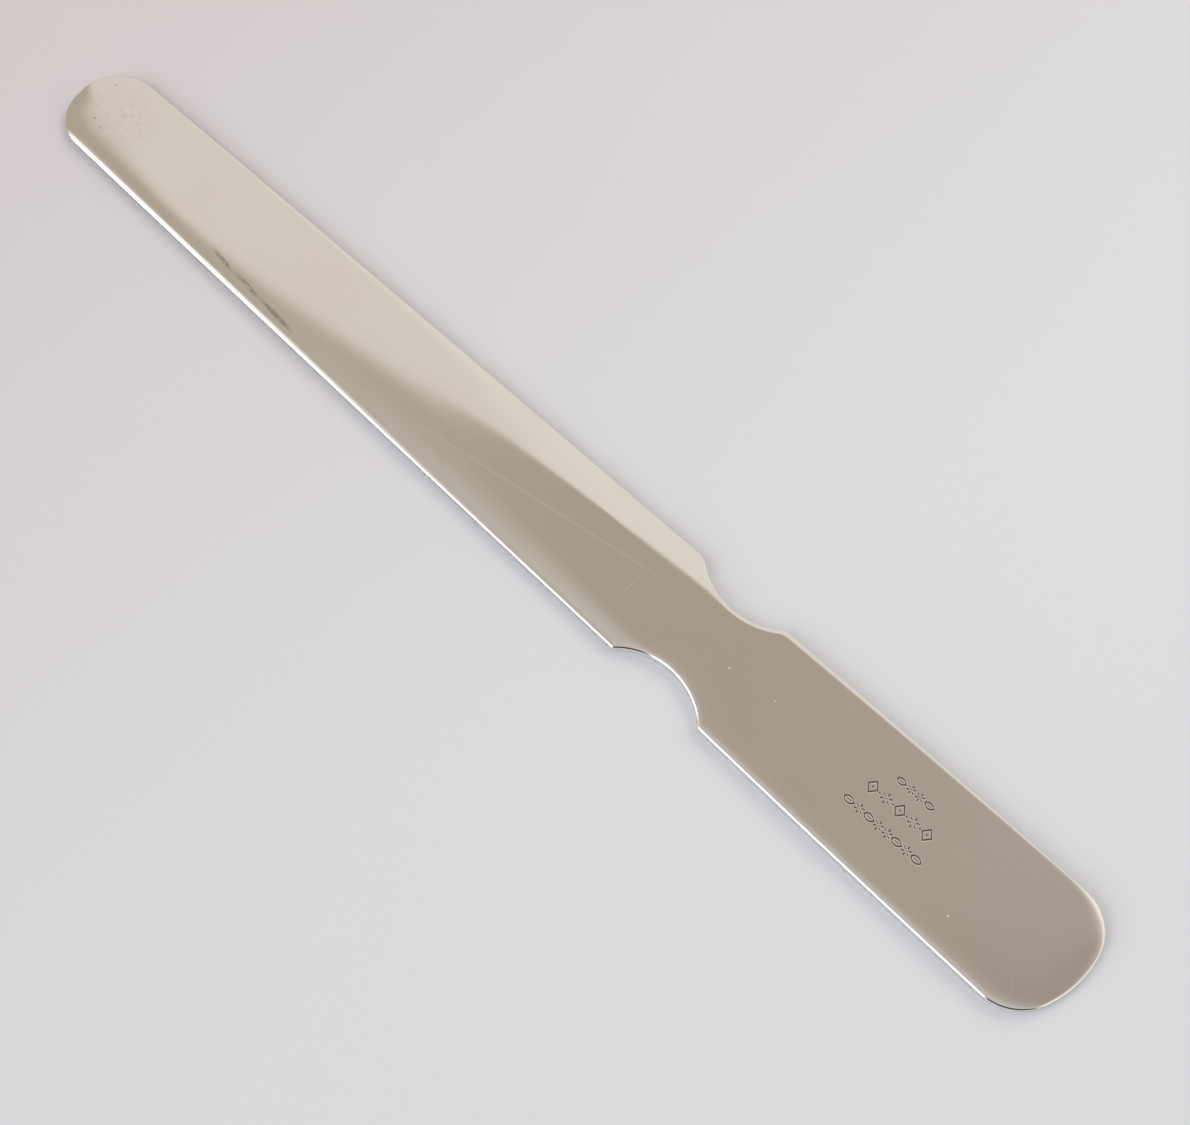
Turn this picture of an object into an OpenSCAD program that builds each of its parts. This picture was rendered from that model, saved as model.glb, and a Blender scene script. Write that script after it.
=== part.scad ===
// Flat silver paper knife, cut and filed from one plate, lying on its back face.
// The tip points to -X, the handle to +X; the front edge is at -Y, the back edge at +Y.

/* [Plate] */
// Length from the tip to the end of the handle
length = 200; // [160:1:240]
// Thickness of the plate at the handle and the neck
plate_t = 1.8; // [1.4:0.1:2.6]
// How far each long edge swells beyond a straight line
edge_bow = 0.12; // [0:0.02:0.3]

/* [Blade] */
// Width of the blade where the rounding of the tip begins
blade_tip_w = 14.5; // [14:0.1:16]
// Width of the blade at its shoulders, beside the waist
blade_root_w = 19; // [17:0.1:20]
// How far the blade's middle line leans to the front at the tip and to the back at the shoulders
blade_sway = 0.2; // [0:0.05:0.4]
// Radius of the tip's rounding on the front edge
tip_front_r = 5.8; // [4:0.1:6.4]
// Radius of the tip's rounding on the back edge
tip_back_r = 7.6; // [5.5:0.1:8]
// Thickness of the blade's middle at the tip
tip_t = 1.2; // [0.8:0.1:1.4]
// Radius of the shallow crown across each face of the blade
crown_r = 110; // [90:5:160]

/* [Waist] */
// Distance from the tip to the middle of the waist
waist_x = 129.3; // [120:0.1:136]
// Radius of the round notch on each side of the waist
notch_r = 12; // [11:0.1:14]
// Distance from the middle line to the bottom of the front notch
neck_front = 5.95; // [5:0.05:7]
// Distance from the middle line to the bottom of the back notch
neck_back = 6.65; // [5:0.05:7.5]
// Rounding of the shoulders beside the front notch
shoulder_front_r = 0.6; // [0.3:0.1:1.5]
// Rounding of the shoulders beside the back notch
shoulder_back_r = 2.5; // [1:0.1:3]

/* [Handle] */
// Width of the handle beside the waist
handle_waist_w = 19.2; // [18:0.1:20]
// Width of the handle where the rounding of its end begins
handle_end_w = 20.8; // [20:0.1:23]
// Radius of the flat curve across the handle's end
end_r = 17; // [14:0.5:22]
// Radius of the handle's rounded corner at the front edge
end_front_r = 8.1; // [5:0.1:9]
// Radius of the handle's rounded corner at the back edge
end_back_r = 7.2; // [5:0.1:8.5]
// How far the middle of the end's curve sits towards the back edge
end_offset = 1.2; // [0:0.1:1.5]

/* [Hidden] */
$fn = 256;
arc_steps = 12;
edge_steps = 8;
past = 2;
tip_front_y = -(blade_tip_w / 2 + blade_sway);
tip_back_y = blade_tip_w / 2 - blade_sway;
root_front_y = -(blade_root_w / 2 - blade_sway);
root_back_y = blade_root_w / 2 + blade_sway;
handle_waist_y = handle_waist_w / 2;
handle_end_y = handle_end_w / 2;
tip_front_c = [tip_front_r, tip_front_y + tip_front_r];
tip_back_c = [tip_back_r, tip_back_y - tip_back_r];
end_c = [length - end_r, end_offset];
corner_back_c = corner_centre(handle_end_y - end_back_r, end_back_r);
corner_front_c = corner_centre(end_front_r - handle_end_y, end_front_r);

// Centre, at height y, of a corner of radius r that runs smoothly into the handle's end curve
function corner_centre(y, r) = [end_c[0] + sqrt(pow(end_r - r, 2) - pow(y - end_offset, 2)), y];

// Direction from a to b, in degrees
function heading(a, b) = atan2(b[1] - a[1], b[0] - a[0]);

// Points on a round arc from direction a to direction b, with or without its two ends
function arc(c, r, a, b, ends = true) = [
    for (i = [(ends ? 0 : 1):arc_steps - (ends ? 0 : 1)])
        let (turn = a + (b - a) * i / arc_steps)
        c + r * [cos(turn), sin(turn)]
];

// Points of a long edge between p and q, swelling by bow in the middle
function long_edge(p, q, bow) = [
    for (i = [1:edge_steps - 1])
        let (t = i / edge_steps)
        p + (q - p) * t + [0, 4 * bow * t * (1 - t)]
];

// How far the centre of a shoulder's rounding lies from the middle of the waist, along the knife
function shoulder_dx(edge, neck, r) = sqrt(pow(notch_r + r, 2) - pow(neck + notch_r - edge + r, 2));

// A round notch in the back edge, from the blade's shoulder to the handle's
function notch(neck, blade_y, handle_y, r) =
    let (
        blade_c = [waist_x - shoulder_dx(blade_y, neck, r), blade_y - r],
        handle_c = [waist_x + shoulder_dx(handle_y, neck, r), handle_y - r],
        notch_c = [waist_x, neck + notch_r],
        from_blade = heading(notch_c, blade_c),
        from_handle = heading(notch_c, handle_c)
    )
    concat(
        arc(blade_c, r, 90, from_blade + 180),
        arc(notch_c, notch_r, from_blade, from_handle, false),
        arc(handle_c, r, from_handle + 180, 90)
    );

// The same points mirrored to the front edge and taken in the opposite order
function to_front(points) = [for (i = [len(points) - 1:-1:0]) [points[i][0], -points[i][1]]];

back_notch = notch(neck_back, root_back_y, handle_waist_y, shoulder_back_r);
front_notch = to_front(notch(neck_front, -root_front_y, handle_waist_y, shoulder_front_r));

// The knife's outline, clockwise from the nose of the tip
module plan() {
    back_turn = heading(end_c, corner_back_c);
    front_turn = heading(end_c, corner_front_c);
    polygon(concat(
        arc(tip_back_c, tip_back_r, 180, 90),
        long_edge(tip_back_c + [0, tip_back_r], back_notch[0], edge_bow),
        back_notch,
        long_edge(back_notch[len(back_notch) - 1], corner_back_c + [0, end_back_r], edge_bow),
        arc(corner_back_c, end_back_r, 90, back_turn),
        arc(end_c, end_r, back_turn, front_turn, false),
        arc(corner_front_c, end_front_r, front_turn, -90),
        long_edge(corner_front_c - [0, end_front_r], front_notch[0], -edge_bow),
        front_notch,
        long_edge(front_notch[len(front_notch) - 1], tip_front_c - [0, tip_front_r], -edge_bow),
        arc(tip_front_c, tip_front_r, 270, 180)
    ));
}

// A long round bar whose crest runs from height tip_z over the tip to waist_z over the waist
module crown_bar(tip_z, waist_z) {
    slope = atan((waist_z - tip_z) / waist_x);
    translate([0, 0, tip_z]) rotate([0, 90 - slope, 0]) translate([crown_r, 0, -length / 2])
        cylinder(h = 2 * length, r = crown_r);
}

// The space between the blade's top and bottom crowns, which close in towards the tip
module blade_section() {
    crest_tip = (plate_t + tip_t) / 2;
    crest_waist = plate_t + neck_back * neck_back / (2 * crown_r);
    intersection() {
        crown_bar(crest_tip, crest_waist);
        translate([0, 0, plate_t]) mirror([0, 0, 1]) crown_bar(crest_tip, crest_waist);
    }
}

// A block that takes in everything from one place along the knife to another
module stretch(from_x, to_x) {
    translate([from_x, -length / 2, -past]) cube([to_x - from_x, length, plate_t + 2 * past]);
}

module paper_knife() {
    color("silver") translate([-length / 2, 0, 0]) intersection() {
        linear_extrude(height = plate_t) plan();
        union() {
            intersection() {
                blade_section();
                stretch(-past, waist_x);
            }
            stretch(waist_x, length + past);
        }
    }
}

paper_knife();
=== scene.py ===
"""Looks of a one-piece polished silver paper knife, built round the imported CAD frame.

Sizes and places are millimetres in this file, and a mesh is written in metres. The outline is worked out
with x measured from the tip, and moved into the frame when the mesh is written. The back edge is at +Y.
"""

import math

import bpy
import numpy as np
from mathutils import Matrix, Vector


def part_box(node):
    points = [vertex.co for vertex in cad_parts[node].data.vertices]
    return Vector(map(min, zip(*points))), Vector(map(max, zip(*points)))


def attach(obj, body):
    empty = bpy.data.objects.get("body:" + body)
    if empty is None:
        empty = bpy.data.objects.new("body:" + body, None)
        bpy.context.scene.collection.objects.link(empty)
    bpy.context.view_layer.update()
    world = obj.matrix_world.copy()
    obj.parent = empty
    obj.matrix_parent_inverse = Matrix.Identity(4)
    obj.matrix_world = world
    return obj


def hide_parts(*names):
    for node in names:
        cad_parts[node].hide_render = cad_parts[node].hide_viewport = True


MM = 0.001

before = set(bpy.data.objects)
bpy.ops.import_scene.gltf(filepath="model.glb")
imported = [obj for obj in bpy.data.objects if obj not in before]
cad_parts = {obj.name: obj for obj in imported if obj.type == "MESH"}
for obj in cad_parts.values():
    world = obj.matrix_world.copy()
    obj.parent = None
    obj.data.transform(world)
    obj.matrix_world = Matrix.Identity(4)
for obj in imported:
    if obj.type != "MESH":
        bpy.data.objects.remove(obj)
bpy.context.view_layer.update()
LOW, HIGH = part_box("paper_knife")
LENGTH = (HIGH[0] - LOW[0]) / MM
WIDTH = (HIGH[1] - LOW[1]) / MM
THICKNESS = (HIGH[2] - LOW[2]) / MM

# Outline
BLADE_TIP_WIDTH = 14.5
BLADE_ROOT_WIDTH = 19.0
BLADE_SWAY = 0.2
TIP_FRONT_RADIUS = 5.8
TIP_BACK_RADIUS = 7.6
WAIST_X = 129.3
NOTCH_RADIUS = 12.0
NECK_FRONT = 5.95
NECK_BACK = 6.65
SHOULDER_FRONT_RADIUS = 0.6
SHOULDER_BACK_RADIUS = 2.5
HANDLE_WAIST_WIDTH = 19.2
END_RADIUS = 17.0
END_FRONT_RADIUS = 8.1
END_BACK_RADIUS = 7.2
END_OFFSET = 1.2
EDGE_BOW = 0.12

# Faces. The crease is the softness of the join between the blade's crown and the flat neck and handle.
TIP_THICKNESS = 1.2
CROWN_RADIUS = 110.0
CREASE = 0.012

# Polished-down margins: (depth, reach) at the tip, along the blade, along the handle and at its end
FRONT_MARGINS = ((0.24, 2.6), (0.11, 1.5), (0.16, 2.2), (0.20, 1.2))
BACK_MARGINS = ((0.04, 0.7), (0.03, 0.5), (0.015, 0.4), (0.20, 1.1))
# The stretches of x over which a margin passes from each of those values to the next
MARGIN_STRETCHES = ((4.0, 34.0), (WAIST_X - 8.0, WAIST_X + 2.0), (LENGTH - 10.0, LENGTH - 3.0))
# The stretch of y over which the front margin passes into the back margin
MARGIN_BLEND = (-3.0, 1.5)
# Wear on the front edge round the tip, (depth, reach), and the stretch of x where it fades out
TIP_WEAR = (0.035, 0.9)
TIP_WEAR_FADE = (25.0, 75.0)

# Blunt rim: its widths, and the stretches of x and y over which they pass into each other
TIP_RIM = 0.1
FRONT_RIM = 0.22
BACK_RIM = 0.16
TIP_RIM_FADE = (15.0, 75.0)
RIM_BLEND = (-4.0, 3.0)
# Its depth as a share of its width, the most it takes of the thickness, and how square it is
RIM_SLANT = 0.62
RIM_SHARE = 0.4
RIM_POWER = 1.45
RIM_STEPS = 8

# The length over which the face's grid bends to follow the end curve
END_BEND = 14.0
# How many columns of the upper face there are to each column of the under face
UNDER_SKIP = 8
# A distance longer than the knife
FAR = 1000.0

# Stamped ornament: x from the tip, y from the middle line, and the patch that has a mesh fine enough for it
STAMP_X = 166.4
STAMP_DEPTH = 0.05
STAMP_STROKE = 0.17
DENSE_X = (158.9, 173.9)
DENSE_Y = (5.5, -3.8)
DENSE_STEP = 0.065

# Camera and studio
CAMERA_AZIMUTH = 43.546
CAMERA_ELEVATION = 72.0
CAMERA_DISTANCE = 0.3463
CAMERA_AIM = (10.05, -1.37, 0.0)
FIELD_OF_VIEW = 28.0

# The camera's own directions along the floor, and straight up
AZIMUTH = math.radians(CAMERA_AZIMUTH)
AHEAD = np.array([-math.sin(AZIMUTH), math.cos(AZIMUTH), 0.0])
RIGHT = np.array([math.cos(AZIMUTH), math.sin(AZIMUTH), 0.0])
UP = np.array([0.0, 0.0, 1.0])


# ---------------------------------------------------------------- outline

def heading(a, b):
    """Direction from point a to point b, in degrees."""
    return math.degrees(math.atan2(b[1] - a[1], b[0] - a[0]))


def edge_runs(side, tip_radius, tip_y, root_y, neck, shoulder, corner_radius):
    """The runs of one edge from the nose of the tip to the handle's end curve, as if at the back (+Y).

    They are a quarter round, a long edge, a rounded shoulder, a hollow notch, a second shoulder, the handle's
    edge and a round corner. A round or hollow run is (kind, centre, radius, start angle, stop angle, steps),
    and a line is (kind, start, stop, shares along it).
    """
    handle_y = HANDLE_WAIST_WIDTH / 2.0
    end_y = WIDTH / 2.0
    notch_c = (WAIST_X, neck + NOTCH_RADIUS)
    end_c = (LENGTH - END_RADIUS, side * END_OFFSET)

    def shoulder_centre(y, direction):
        reach = NOTCH_RADIUS + shoulder
        lift = notch_c[1] - (y - shoulder)
        return (WAIST_X + direction * math.sqrt(reach ** 2 - lift ** 2), y - shoulder)

    blade_c = shoulder_centre(root_y, -1)
    handle_c = shoulder_centre(handle_y, 1)
    from_blade = heading(notch_c, blade_c)
    from_handle = heading(notch_c, handle_c)
    corner_y = end_y - corner_radius
    corner_x = end_c[0] + math.sqrt((END_RADIUS - corner_radius) ** 2 - (corner_y - end_c[1]) ** 2)
    corner_c = (corner_x, corner_y)
    dense = round((DENSE_X[1] - DENSE_X[0]) / DENSE_STEP)
    stations = np.concatenate([
        np.linspace(handle_c[0], DENSE_X[0], 15)[:-1],
        np.linspace(DENSE_X[0], DENSE_X[1], dense + 1),
        np.linspace(DENSE_X[1], corner_x, 13)[1:],
    ])
    shares = (stations - handle_c[0]) / (corner_x - handle_c[0])
    return [
        ("round", (tip_radius, tip_y - tip_radius), tip_radius, 180.0, 90.0, 20),
        ("line", (tip_radius, tip_y), (blade_c[0], root_y), np.linspace(0.0, 1.0, 57)),
        ("round", blade_c, shoulder, 90.0, from_blade + 180.0, 6),
        ("hollow", notch_c, NOTCH_RADIUS, from_blade, from_handle, 24),
        ("round", handle_c, shoulder, from_handle + 180.0, 90.0, 6),
        ("line", (handle_c[0], handle_y), (corner_x, end_y), shares),
        ("round", corner_c, corner_radius, 90.0, heading(end_c, corner_c), 12),
    ]


def line_height(start, stop, t):
    """Height of a long edge at share t: a straight line swelling by 4 * bow * t * (1 - t)."""
    return start[1] + (stop[1] - start[1]) * t + 4.0 * EDGE_BOW * t * (1.0 - t)


def run_points(run):
    """Points of one run with their outward directions, as rows of x, y, out x, out y.

    A round run's point is centre + radius * (cos a, sin a), facing (cos a, sin a), and a hollow run's faces
    the other way. A line's point is its start plus its share of the way, at the height above, facing at right
    angles to it.
    """
    if run[0] == "line":
        _, start, stop, t = run
        x = start[0] + (stop[0] - start[0]) * t
        slope = (stop[1] - start[1] + 4.0 * EDGE_BOW * (1.0 - 2.0 * t)) / (stop[0] - start[0])
        size = np.hypot(slope, 1.0)
        return np.stack([x, line_height(start, stop, t), -slope / size, 1.0 / size], axis=1)
    kind, centre, radius, first, last, steps = run
    a = np.radians(np.linspace(first, last, steps + 1))
    out = np.stack([np.cos(a), np.sin(a)], axis=1)
    return np.concatenate([np.array(centre) + radius * out, -out if kind == "hollow" else out], axis=1)


def edge_points(runs, side):
    """All the points of one edge, mirrored when side is -1. A point that two runs share is kept once."""
    parts = [run_points(run) for run in runs]
    points = np.concatenate([parts[0]] + [part[1:] for part in parts[1:]])
    points[:, [1, 3]] *= side
    return points


def run_gap(run, x, y):
    """Distance from points inside the outline to one run, and a large number for points not opposite it.

    For a circle it is the difference between the radius and the distance to the centre, and for a line it is
    the height difference, because the lines slope by about a degree. Each run reaches a hair past its ends,
    so that no point falls between two of them.
    """
    if run[0] == "line":
        _, start, stop, _ = run
        t = (x - start[0]) / (stop[0] - start[0])
        return np.where((t > -0.002) & (t < 1.002), line_height(start, stop, t) - y, FAR)
    kind, centre, radius, first, last, _ = run
    dx, dy = x - centre[0], y - centre[1]
    middle = math.radians((first + last) / 2.0)
    half = math.radians(abs(last - first) / 2.0 + 1.5)
    turned = np.abs(np.angle(np.exp(1j * (np.arctan2(dy, dx) - middle))))
    gap = np.hypot(dx, dy) - radius
    return np.where(turned <= half, gap if kind == "hollow" else -gap, FAR)


def outline_gap(x, y):
    """Distance from points inside the outline to its nearest place."""
    gaps = [run_gap(run, x, y) for run in BACK_RUNS]
    gaps += [run_gap(run, x, -y) for run in FRONT_RUNS]
    ahead = x - (LENGTH - END_RADIUS)
    gaps += [x, np.where(ahead > 0.0, END_RADIUS - np.hypot(ahead, y - END_OFFSET), FAR)]
    return np.maximum(np.min(gaps, axis=0), 0.0)


BACK_RUNS = edge_runs(
    1, TIP_BACK_RADIUS, BLADE_TIP_WIDTH / 2.0 - BLADE_SWAY, BLADE_ROOT_WIDTH / 2.0 + BLADE_SWAY,
    NECK_BACK, SHOULDER_BACK_RADIUS, END_BACK_RADIUS,
)
FRONT_RUNS = edge_runs(
    -1, TIP_FRONT_RADIUS, BLADE_TIP_WIDTH / 2.0 + BLADE_SWAY, BLADE_ROOT_WIDTH / 2.0 - BLADE_SWAY,
    NECK_FRONT, SHOULDER_FRONT_RADIUS, END_FRONT_RADIUS,
)


def across_shares():
    """Places across the knife from the back edge (0) to the front edge (1), closest over the ornament."""
    back_y, front_y = WIDTH / 2.0 - BACK_RIM, FRONT_RIM - WIDTH / 2.0
    first, last = [(back_y - y) / (back_y - front_y) for y in DENSE_Y]
    dense = round((DENSE_Y[0] - DENSE_Y[1]) / DENSE_STEP)
    return np.concatenate([
        np.linspace(0.0, first, 7)[:-1],
        np.linspace(first, last, dense + 1),
        np.linspace(last, 1.0, 8)[1:],
    ])


def nose_points(back, front, shares):
    """The flat nose of the tip: points shared out between the two edges, all facing -X."""
    t = shares[:, None]
    points = back[:1, :2] * (1.0 - t) + front[:1, :2] * t
    return np.concatenate([points, np.tile([-1.0, 0.0], (len(t), 1))], axis=1)


def end_points(back, front, shares):
    """The handle's end curve: points on its circle, their angles shared out between the two edges."""
    centre = np.array([LENGTH - END_RADIUS, END_OFFSET])
    first = math.radians(heading(centre, back[-1]))
    last = math.radians(heading(centre, front[-1]))
    a = first + (last - first) * shares
    out = np.stack([np.cos(a), np.sin(a)], axis=1)
    return np.concatenate([centre + END_RADIUS * out, out], axis=1)


# ---------------------------------------------------------------- faces

def smooth_step(first, last, x):
    """0 below first, 1 above last, and 3 t^2 - 2 t^3 between them."""
    t = np.clip((x - first) / (last - first), 0.0, 1.0)
    return t * t * (3.0 - 2.0 * t)


def crown_height(x, y):
    """Height of a face above the knife's middle plane.

    The blade's crest rises in a straight line from half the tip's thickness, and its crown falls from the
    crest by y^2 / (2 * radius). A smooth minimum joins the crown to the flat face that the handle keeps.
    """
    plate = THICKNESS / 2.0
    crest_waist = plate + NECK_BACK ** 2 / (2.0 * CROWN_RADIUS)
    crest = TIP_THICKNESS / 2.0 + (crest_waist - TIP_THICKNESS / 2.0) * x / WAIST_X
    crown = np.where(x < WAIST_X, crest - y ** 2 / (2.0 * CROWN_RADIUS), plate + 1.0)
    over = np.clip((crown - plate) / CREASE, -40.0, 40.0)
    return np.where(over < 40.0, crown - CREASE * np.log1p(np.exp(over)), plate)


def margin_drop(margins, x, gap):
    """How far the face is polished down near its edge: a depth times e^(-gap / reach).

    Both pass smoothly from their values at the tip to those of the blade, the handle and the handle's end.
    """
    depth, reach = margins[0]
    for (next_depth, next_reach), (first, last) in zip(margins[1:], MARGIN_STRETCHES):
        share = smooth_step(first, last, x)
        depth = depth + (next_depth - depth) * share
        reach = reach + (next_reach - reach) * share
    return depth * np.exp(-gap / reach)


def upper_face(x, y, gap):
    """Height of the upper face above the underside, before the rim is rounded.

    The front half is polished down further than the back half, and the two pass into each other. The front is
    also worn down round the tip, by a second depth times e^(-gap / reach) that fades out along the blade.
    """
    back_share = smooth_step(*MARGIN_BLEND, y)
    wear_depth, wear_reach = TIP_WEAR
    wear = wear_depth * np.exp(-gap / wear_reach) * (1.0 - smooth_step(*TIP_WEAR_FADE, x))
    front_drop = margin_drop(FRONT_MARGINS, x, gap) + wear
    back_drop = margin_drop(BACK_MARGINS, x, gap)
    return THICKNESS / 2.0 + crown_height(x, y) - front_drop - (back_drop - front_drop) * back_share


def rim_width(x, y):
    """Width of the blunt rim: narrow round the tip, and past it wider on the front half than on the back."""
    full = BACK_RIM + (FRONT_RIM - BACK_RIM) * (1.0 - smooth_step(*RIM_BLEND, y))
    return TIP_RIM + (full - TIP_RIM) * smooth_step(*TIP_RIM_FADE, x)


def inset(points, share):
    """The points moved inwards, against their outward directions, by a share of the rim's width."""
    return points[:, :2] - points[:, 2:] * (rim_width(points[:, :1], points[:, 1:2]) * share)


def under_face(x, y):
    """Height of the under face: the crown turned over, without a polished margin."""
    return THICKNESS / 2.0 - crown_height(x, y)


# ---------------------------------------------------------------- stamped ornament

def groove(distance):
    """Depth of a punched line at a distance from its middle: (1 - (distance / stroke)^2)^2."""
    return np.clip(1.0 - (distance / STAMP_STROKE) ** 2, 0.0, 1.0) ** 2


def lozenge(x, y, size):
    """A diamond drawn with one line, with a pellet in its middle."""
    half_long, half_high = 0.42 * size, 0.5 * size
    reach = math.hypot(half_long, half_high)
    side = np.abs(np.abs(x) * half_high + np.abs(y) * half_long - half_long * half_high) / reach
    return np.maximum(groove(side), groove(np.maximum(np.hypot(x, y) - 0.05, 0.0)))


def rosette(x, y, size):
    """Six petals round a centre: the angle is folded to one sixth, and the petal is a short line outwards."""
    angle = np.arctan2(y, x) + math.pi / 6.0
    folded = angle - np.round(angle / (math.pi / 3.0)) * (math.pi / 3.0)
    along, beside = np.hypot(x, y) * np.cos(folded), np.hypot(x, y) * np.sin(folded)
    first, last = 0.24 * size, 0.42 * size
    petal = np.hypot(np.maximum(np.maximum(first - along, along - last), 0.0), beside)
    return np.maximum(groove(petal), groove(np.hypot(x, y)))


def leaf(x, y, size):
    """A pointed oval between two arcs, with a vein along its middle."""
    lift = 0.30 * size
    radius = math.hypot(lift, 0.5 * size)
    rim = np.abs(np.maximum(np.hypot(x, y - lift), np.hypot(x, y + lift)) - radius)
    vein = np.hypot(np.maximum(np.abs(x) - 0.2 * size, 0.0), y)
    return np.maximum(groove(rim), 0.7 * groove(vein * 1.4))


def pellet(x, y, size):
    """A round dimple."""
    return groove(np.maximum(np.hypot(x, y) - 0.5 * size, 0.0))


# Each row: its middle line, the height of its motifs, and the motifs with their places along the row
STAMP_ROWS = (
    (4.45, 1.5, ((leaf, -2.55), (rosette, -0.8), (rosette, 0.8), (leaf, 2.55))),
    (1.1, 2.0, ((lozenge, -5.0), (rosette, -2.5), (lozenge, 0.0), (rosette, 2.5), (lozenge, 5.0))),
    (-2.55, 1.7, (
        (leaf, -6.2), (rosette, -4.3), (leaf, -2.5), (rosette, -0.75),
        (rosette, 0.85), (leaf, 2.6), (rosette, 4.4), (leaf, 6.2),
    )),
)


def stamp_share(x, y):
    """Share of the full stamping depth: the deepest of the motifs, and a pellet in each wide gap."""
    x, y = x - STAMP_X, np.asarray(y)
    share = np.zeros_like(x)
    for row_y, size, motifs in STAMP_ROWS:
        for motif, place in motifs:
            share = np.maximum(share, motif(x - place, y - row_y, size))
        for (_, a), (_, b) in zip(motifs[:-1], motifs[1:]):
            if b - a > 2.2:
                share = np.maximum(share, pellet(x - (a + b) / 2.0, y - row_y, 0.1))
    return share


# ---------------------------------------------------------------- knife mesh

def grid_faces(index, turned):
    """Triangles of a grid of vertex numbers, turned over when asked."""
    a, b, c, d = index[:-1, :-1], index[:-1, 1:], index[1:, 1:], index[1:, :-1]
    faces = np.concatenate([np.stack([a, b, c], axis=-1), np.stack([a, c, d], axis=-1)]).reshape(-1, 3)
    return faces[:, ::-1] if turned else faces


def zip_faces(fine, fine_shares, coarse, coarse_shares, turned):
    """Triangles between two lines of vertices that run the same way, each from share 0 to share 1.

    Every step of either line makes a triangle with the vertex the other line has reached, the steps of both
    being taken in the order of their middles.
    """
    fine_middles = (fine_shares[:-1] + fine_shares[1:]) / 2.0
    coarse_middles = (coarse_shares[:-1] + coarse_shares[1:]) / 2.0
    on_coarse = coarse[np.searchsorted(coarse_middles, fine_middles)]
    on_fine = fine[np.searchsorted(fine_middles, coarse_middles, side="right")]
    faces = np.concatenate([
        np.stack([fine[:-1], on_coarse, fine[1:]], axis=-1),
        np.stack([on_fine, coarse[:-1], coarse[1:]], axis=-1),
    ])
    return faces[:, ::-1] if turned else faces


def border(index):
    """The border of a grid of values, once round: across the tip, along the front, across the end, back."""
    return np.concatenate([index[0, :-1], index[:-1, -1], index[-1, :0:-1], index[:0:-1, 0]])


def face_plan(back, front, end, shares):
    """Plan of a face's grid, as x and y: straight across from edge to edge, then bent to the end curve."""
    back, front, end = inset(back, 1.0), inset(front, 1.0), inset(end, 1.0)
    t = shares[None, :, None]
    flat = back[:, None, :] * (1.0 - t) + front[:, None, :] * t
    bend = smooth_step(LENGTH - END_BEND, back[-1, 0], flat[:, :1, :1])
    bend[-1] = 1.0
    flat = flat + bend * (end - flat[-1])[None]
    return flat[..., 0], flat[..., 1]


def rim_rings(loop):
    """Rings of points down the knife's edge: a blunt bevel above, the wall, and a bevel turned over.

    The bevel is a superellipse: 1 - sin(a)^power of the rim's width in, 1 - cos(a)^power of its depth down.
    """
    x, y = loop[:, 0], loop[:, 1]
    width = rim_width(x, y)
    high, low = upper_face(x, y, 0.0), under_face(x, y)
    drop = np.minimum(RIM_SLANT * width, RIM_SHARE * (high - low))
    above, below = [], []
    for step in range(1, RIM_STEPS + 1):
        a = 0.5 * math.pi * step / RIM_STEPS
        share = 1.0 - math.sin(a) ** RIM_POWER
        fall = drop * (1.0 - max(math.cos(a), 0.0) ** RIM_POWER)
        place = inset(loop, share)
        above.append(np.column_stack([place, upper_face(place[:, 0], place[:, 1], share * width) - fall]))
        below.append(np.column_stack([place, under_face(place[:, 0], place[:, 1]) + fall]))
    return above + below[::-1]


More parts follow.
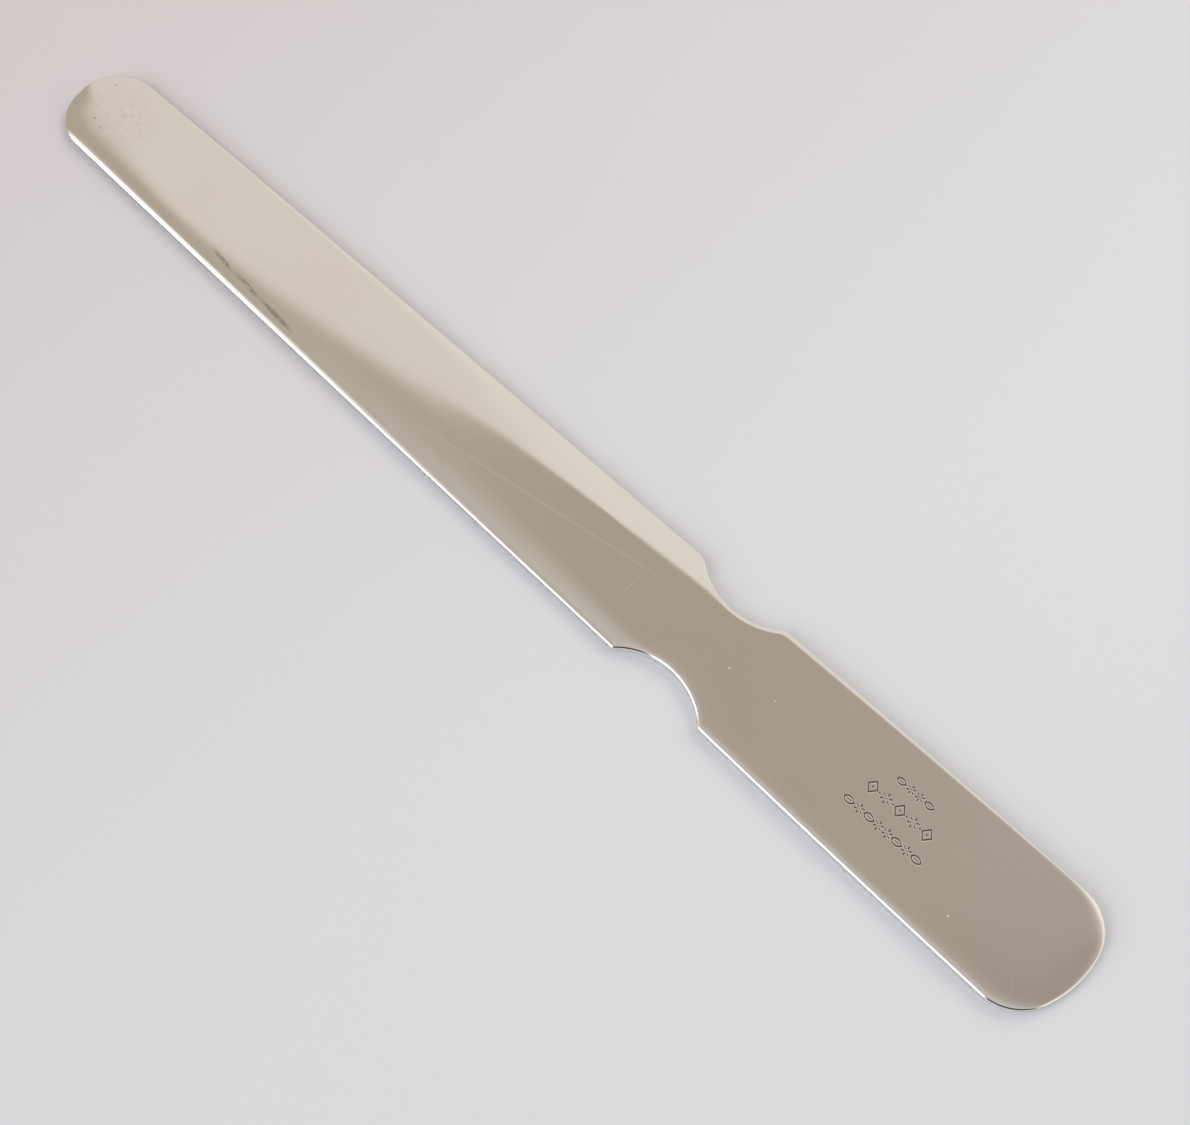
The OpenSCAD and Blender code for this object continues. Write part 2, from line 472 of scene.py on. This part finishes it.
def knife_mesh():
    """The whole knife as one closed surface, with the stamping share of each vertex.

    The upper face is a fine grid: one parameter runs along the knife from station to station, and the other
    runs across it from a point inset from the back edge to one inset from the front edge. The under face
    leaves out most of the columns, because it has no ornament. Rings of points down the edge join the two.
    """
    back = edge_points(BACK_RUNS, 1)
    front = edge_points(FRONT_RUNS, -1)
    shares = across_shares()
    nose = nose_points(back, front, shares)
    end = end_points(back, front, shares)
    x, y = face_plan(back, front, end, shares)
    stamp = stamp_share(x, y)
    top = upper_face(x, y, outline_gap(x, y)) - STAMP_DEPTH * stamp
    loop = np.concatenate([nose[:-1], front[:-1], end[:0:-1], back[:0:-1]])
    rings = rim_rings(loop)
    keep = np.append(np.arange(0, len(shares) - 1, UNDER_SKIP), len(shares) - 1)
    inner = np.stack([x, y, under_face(x, y)], axis=-1)
    sparse = inner[1:-1, keep[1:-1]].reshape(-1, 3)

    rows, columns = x.shape
    around = len(loop)
    upper = np.arange(rows * columns).reshape(rows, columns)
    rim_start = rows * columns
    under_rim = rim_start + around * len(rings) + np.arange(around)
    frame_index = np.full((rows, columns), -1)
    frame_index[0, :-1] = under_rim[:columns - 1]
    frame_index[:-1, -1] = under_rim[columns - 1:columns + rows - 2]
    frame_index[-1, :0:-1] = under_rim[columns + rows - 2:2 * columns + rows - 3]
    frame_index[:0:-1, 0] = under_rim[2 * columns + rows - 3:]
    under = frame_index[:, keep]
    sparse_start = rim_start + around * (len(rings) + 1)
    under[1:-1, 1:-1] = sparse_start + np.arange(len(sparse)).reshape(rows - 2, len(keep) - 2)

    vertices = np.concatenate([np.stack([x, y, top], axis=-1).reshape(-1, 3), *rings, border(inner), sparse])
    levels = [border(upper)] + [rim_start + around * r + np.arange(around) for r in range(len(rings) + 1)]
    faces = [
        grid_faces(upper, False),
        grid_faces(under[1:-1], True),
        zip_faces(frame_index[0], shares, under[1], shares[keep], False),
        zip_faces(frame_index[-1], shares, under[-2], shares[keep], True),
    ]
    for high, low in zip(levels[:-1], levels[1:]):
        next_high, next_low = np.roll(high, -1), np.roll(low, -1)
        faces += [np.stack([high, low, next_low], axis=-1), np.stack([high, next_low, next_high], axis=-1)]
    vertices[:, 0] += LOW[0] / MM
    vertices[:, 2] += LOW[2] / MM
    marks = np.zeros(len(vertices))
    marks[:rows * columns] = stamp.reshape(-1)
    return vertices, np.concatenate(faces), marks


def mesh_object(name, vertices, faces, material):
    """A smooth-shaded object at the origin, from vertices in millimetres."""
    mesh = bpy.data.meshes.new(name)
    mesh.from_pydata((vertices * MM).tolist(), [], faces.tolist())
    mesh.polygons.foreach_set("use_smooth", np.ones(len(mesh.polygons), bool))
    mesh.materials.append(material)
    mesh.update()
    made = bpy.data.objects.new(name, mesh)
    bpy.context.scene.collection.objects.link(made)
    return made


def add_knife():
    """The knife, with its stamping shares kept as an attribute for the material."""
    vertices, faces, marks = knife_mesh()
    knife = mesh_object("silver_paper_knife", vertices, faces, silver())
    knife.data.attributes.new("stamp", "FLOAT", "POINT").data.foreach_set("value", marks)
    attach(knife, "root")
    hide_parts("paper_knife")


# ---------------------------------------------------------------- shaders

class Wire:
    """An output socket in a node tree. Arithmetic on it adds Math nodes, and node() adds any other node."""

    def __init__(self, tree, socket=None):
        self.tree = tree
        self.socket = socket

    def node(self, kind, settings=None, sockets=None, output=0):
        """A new node: its settings are set first, then its sockets are given values or links."""
        made = self.tree.nodes.new(kind)
        for name, value in (settings or {}).items():
            setattr(made, name, value)
        for key, value in (sockets or {}).items():
            if isinstance(value, Wire):
                self.tree.links.new(value.socket, made.inputs[key])
            else:
                made.inputs[key].default_value = value
        return Wire(self.tree, made.outputs[output] if len(made.outputs) else None)

    def maths(self, operation, *values):
        return self.node("ShaderNodeMath", {"operation": operation}, dict(enumerate(values)))

    def __add__(self, other):
        return self.maths("ADD", self, other)

    __radd__ = __add__

    def __sub__(self, other):
        return self.maths("SUBTRACT", self, other)

    def __rsub__(self, other):
        return self.maths("SUBTRACT", other, self)

    def __mul__(self, other):
        return self.maths("MULTIPLY", self, other)

    __rmul__ = __mul__

    def step(self, first, last):
        """0 to 1 smoothly as the value goes from first to last."""
        sockets = {"Value": self, "From Min": first, "From Max": last}
        return self.node("ShaderNodeMapRange", {"interpolation_type": "SMOOTHSTEP"}, sockets)

    def mixed(self, low, high):
        """The colour low where this value is 0, and high where it is 1."""
        return self.node("ShaderNodeMix", {"data_type": "RGBA"}, {0: self, 6: low, 7: high}, 2)

    def dot(self, direction):
        """The share of this vector along a direction."""
        sockets = {0: self, 1: direction}
        return self.node("ShaderNodeVectorMath", {"operation": "DOT_PRODUCT"}, sockets, "Value")


def new_material(name):
    """An empty node material, and a wire to start from."""
    material = bpy.data.materials.new(name)
    material.use_nodes = True
    material.node_tree.nodes.clear()
    return material, Wire(material.node_tree)


def place_wire(start):
    """Object coordinates in millimetres."""
    place = start.node("ShaderNodeTexCoord", output="Object")
    return place.node("ShaderNodeVectorMath", {"operation": "SCALE"}, {0: place, "Scale": 1.0 / MM})


def noise(place, scale, detail=2.0, roughness=0.5):
    """Soft noise with about scale lumps to the millimetre."""
    sockets = {"Vector": place, "Scale": scale, "Detail": detail, "Roughness": roughness}
    return place.node("ShaderNodeTexNoise", None, sockets, "Fac")


def blot(place, x, y, long, wide, turn=0.0):
    """1 inside a soft-edged ellipse on the knife's face and 0 outside it; x is measured from the tip."""
    sockets = {
        "Vector": place,
        "Location": (x - LENGTH / 2.0, y, 0.0),
        "Rotation": (0.0, 0.0, math.radians(turn)),
        "Scale": (long, wide, FAR),
    }
    inside = place.node("ShaderNodeMapping", {"vector_type": "TEXTURE"}, sockets)
    distance = inside.node("ShaderNodeVectorMath", {"operation": "LENGTH"}, {0: inside}, "Value")
    return 1.0 - distance.step(0.35, 1.0)


def blots(place, marks):
    """The sum of a list of blots."""
    total = blot(place, *marks[0])
    for mark in marks[1:]:
        total = total + blot(place, *mark)
    return total


def hairlines(place, turn, long, wide, shift):
    """Thin straight scratches at an angle, in patches, where stretched noise crosses its middle value."""
    sockets = {
        "Vector": place,
        "Location": (shift, -shift, 0.0),
        "Rotation": (0.0, 0.0, math.radians(turn)),
        "Scale": (1.0 / long, 1.0 / wide, 0.0),
    }
    band = noise(place.node("ShaderNodeMapping", None, sockets), 1.0, 1.0)
    off_middle = (band - 0.5).maths("ABSOLUTE", band - 0.5)
    return (1.0 - off_middle.step(0.0, 0.012)) * noise(place, 0.11, 1.0).step(0.52, 0.66)


# Marks of use, in millimetres: x from the tip, y, half length, half width, turn
DUST = ((135.2, -0.1, 0.22, 0.20, 0.0), (143.2, 0.85, 0.16, 0.14, 0.0), (180.9, -5.4, 0.24, 0.20, 0.0))
SCRATCHES = (
    (193.3, -6.4, 1.1, 0.10, -50.0), (116.5, -1.0, 3.2, 0.14, -97.0), (138.5, 6.6, 1.8, 0.08, -20.0),
    (151.8, 7.3, 2.6, 0.08, -12.0), (127.0, -3.4, 1.6, 0.08, 35.0),
)
LONG_SCRATCH = (98.0, -0.55, 34.0, 0.34, 9.8)
PITS = (
    (3.3, 3.5, 0.30, 0.22, 20.0), (5.1, -2.6, 0.34, 0.24, 0.0), (6.8, -3.1, 0.25, 0.2, 0.0),
    (10.6, 1.2, 0.16, 0.16, 0.0), (8.9, 1.6, 0.16, 0.14, 0.0),
)
STAINS = ((36.8, -5.6, 3.2, 0.45, -8.0), (42.4, -6.0, 3.6, 0.5, -4.0), (49.0, -6.4, 4.6, 0.5, -4.0))


def silver():
    """Polished silver, its stamped lines darkened in the base colour: partly tarnish, partly painted shade in
    the grooves.

    Specks of dust are matt and pale, scratches are slightly sunk and a little matt, pits and the stains by
    the front edge are dark, and the tip has a cloudy haze.
    """
    material, start = new_material("polished_silver")
    place = place_wire(start)
    stamp = start.node("ShaderNodeAttribute", {"attribute_name": "stamp"}, None, "Fac")
    haze = noise(place, 0.05, 3.0)
    fine = noise(place, 2.5, 2.0)
    speckle = noise(place, 1.1, 3.0, 0.7)
    pale, pits, stains, cuts = [blots(place, marks) for marks in (DUST, PITS, STAINS, SCRATCHES)]
    lines = cuts * 1.3 + blot(place, *LONG_SCRATCH) * 0.7 + hairlines(place, 6.0, 30.0, 0.45, 3.0) * 0.5
    cloudy = blot(place, 7.5, 0.0, 9.0, 6.0)
    colour = haze.step(0.35, 0.7).mixed((0.94, 0.91, 0.865, 1.0), (0.935, 0.90, 0.85, 1.0))
    colour = (cloudy * (0.15 + speckle.step(0.50, 0.64) * 0.4)).mixed(colour, (0.80, 0.755, 0.74, 1.0))
    colour = (stains * speckle.step(0.30, 0.50) * 0.9).mixed(colour, (0.50, 0.53, 0.49, 1.0))
    colour = (pits * 0.6).mixed(colour, (0.45, 0.42, 0.40, 1.0))
    # Painted shade: the stamped grooves' base colour goes near black, standing in for the shade inside the
    # grooves as well as their tarnish.
    colour = (stamp.step(0.08, 0.45) * 0.95).mixed(colour, (0.13, 0.11, 0.095, 1.0))
    metallic = 1.0 - pale.maths("MINIMUM", pale * 0.6 + lines * 0.06, 0.9)
    rough = 0.055 + haze * 0.04 + lines * 0.03 + cloudy * 0.03 + stamp * 0.15
    height = fine * 0.0005 - lines * 0.0004
    bump = height.node("ShaderNodeBump", None, {"Strength": 1.0, "Distance": MM, "Height": height})
    shader = start.node("ShaderNodeBsdfPrincipled", None, {
        "Base Color": colour, "Metallic": metallic, "Roughness": rough, "Normal": bump,
    })
    start.node("ShaderNodeOutputMaterial", None, {"Surface": shader})
    return material


def pale_floor():
    """A plain, pale, matt surface with a painted light falloff: a little pinker and darker towards the far
    left.
    """
    material, start = new_material("pale_floor")
    place = place_wire(start)
    # Painted light: a colour gradient across the floor standing in for uneven lighting, pinker and darker to
    # the far left, paler and cooler to the near right.
    painted_light_falloff = place.dot(0.6 * RIGHT - 0.8 * AHEAD).step(-170.0, 60.0)
    colour = painted_light_falloff.mixed((0.668, 0.614, 0.645, 1.0), (0.742, 0.765, 0.825, 1.0))
    shader = start.node("ShaderNodeBsdfPrincipled", None, {
        "Base Color": colour, "Roughness": 0.7, "Specular IOR Level": 0.2,
    })
    start.node("ShaderNodeOutputMaterial", None, {"Surface": shader})
    return material


# ---------------------------------------------------------------- stage

def aimed(name, data, position, target):
    """An object at a position, its -Z axis pointing at a target and its top up."""
    made = bpy.data.objects.new(name, data)
    bpy.context.scene.collection.objects.link(made)
    back = np.asarray(position) - np.asarray(target)
    back = back / np.linalg.norm(back)
    side = np.cross(UP, back)
    side = side / np.linalg.norm(side)
    top = np.cross(back, side)
    placed = np.eye(4)
    placed[:3] = np.column_stack([side, top, back, position])
    made.matrix_world = Matrix(placed.tolist())
    return made


def add_camera():
    """The camera, looking down steeply across the knife."""
    lens = bpy.data.cameras.new("camera")
    lens.sensor_fit = "HORIZONTAL"
    lens.angle = math.radians(FIELD_OF_VIEW)
    lens.clip_start = 0.01
    target = np.array(CAMERA_AIM) * MM
    tilt = math.radians(CAMERA_ELEVATION)
    position = target + CAMERA_DISTANCE * (UP * math.sin(tilt) - AHEAD * math.cos(tilt))
    bpy.context.scene.camera = aimed("camera", lens, position, target)


def add_floor():
    """A wide square floor under the knife."""
    half = 4000.0
    corners = np.array([[-half, -half, 0.0], [half, -half, 0.0], [half, half, 0.0], [-half, half, 0.0]])
    floor = mesh_object("floor", corners, np.array([[0, 1, 2, 3]]), pale_floor())


def add_studio():
    """The room's soft light as a sky, painted by angles in degrees.

    Lean and side tilt from straight up, away from the camera and to its right, and toward tilts to the
    knife's front. Fall is measured from straight up, and turn goes round from the camera's side to its right.
    """
    world = bpy.data.worlds.new("studio")
    bpy.context.scene.world = world
    world.use_nodes = True
    world.node_tree.nodes.clear()
    start = Wire(world.node_tree)
    way = start.node("ShaderNodeTexCoord", output="Generated")
    degree = 180.0 / math.pi
    ahead, right, up = way.dot(AHEAD), way.dot(RIGHT), way.dot(UP)
    lean = ahead.maths("ARCTAN2", ahead, up) * degree
    side = right.maths("ARCTAN2", right, up) * degree
    turn = right.maths("ARCTAN2", right, ahead * -1.0) * degree
    fall = up.maths("ARCCOSINE", up) * degree
    toward = lean * -AHEAD[1] - side * RIGHT[1]

    # A dim warm ceiling, with a duller patch to the right and a greyer glow to the knife's front
    ceiling = side.step(-9.0, 2.0).mixed((0.437, 0.381, 0.318, 1.0), (0.397, 0.350, 0.291, 1.0))
    ceiling = side.step(3.0, 11.0).mixed(ceiling, (0.403, 0.360, 0.323, 1.0))
    patch = (1.0 - lean.step(6.0, 10.5)) * side.step(4.0, 9.5)
    ceiling = patch.mixed(ceiling, (0.357, 0.311, 0.28, 1.0))
    skirt = toward.step(-10.5, 4.0) * side.step(-20.0, -8.0)
    ceiling = skirt.mixed(ceiling, (0.525, 0.515, 0.50, 1.0))

    # A pale screen beyond the knife, whose lower edge bends with side
    lift = side.maths("MINIMUM", side.maths("MAXIMUM", side, -1.0), 5.0)
    drop = side.maths("MINIMUM", side.maths("MAXIMUM", side, -12.0), -1.0)
    edge = lean + lift * 0.45 - drop * 0.11
    pale = side.step(-1.0, 4.0).mixed((0.685, 0.638, 0.599, 1.0), (0.735, 0.703, 0.652, 1.0))
    screen = edge.step(20.9, 23.7) * (side + (lean - 28.0) * 0.3).step(-22.0, -15.5)
    colour = screen.mixed(ceiling, pale)

    # A white window to the left, a cream wall to the right, the dark behind the camera, and pale low down
    around = turn - fall.step(25.0, 55.0) * 26.0
    window = around.step(-131.0, -106.0) * (1.0 - turn.step(-40.0, -28.0)) * fall.step(15.0, 38.0)
    colour = window.mixed(colour, (2.3, 2.35, 2.4, 1.0))
    wall = turn.step(22.0, 36.0) * (1.0 - turn.step(122.0, 145.0)) * fall.step(16.0, 44.0)
    colour = wall.mixed(colour, (1.0, 0.93, 0.85, 1.0))
    dark = turn.step(-40.0, -28.0) * (1.0 - turn.step(22.0, 36.0)) * fall.step(12.0, 34.0)
    colour = dark.mixed(colour, (0.05, 0.045, 0.04, 1.0))
    colour = fall.step(76.0, 86.0).mixed(colour, (0.66, 0.64, 0.65, 1.0))
    sky = start.node("ShaderNodeBackground", None, {"Color": colour, "Strength": 1.0})
    start.node("ShaderNodeOutputWorld", None, {"Surface": sky})


def add_lamp(name, right, ahead, up, energy, colour):
    """A soft square lamp aimed at the knife, left out of mirror reflections."""
    lamp = bpy.data.lights.new(name, "AREA")
    lamp.size = 0.5
    lamp.energy = energy
    lamp.color = colour
    placed = aimed(name, lamp, right * RIGHT + ahead * AHEAD + up * UP, np.zeros(3))
    placed.visible_glossy = False


scene = bpy.context.scene
scene.view_settings.view_transform = "Standard"

add_camera()
add_floor()
add_studio()
add_lamp("window_lamp", -0.62, -0.42, 0.5, 0.55, (0.86, 0.95, 1.0))
add_lamp("warm_lamp", 0.50, 0.55, 0.6, 2.0, (1.0, 0.93, 0.82))
add_knife()
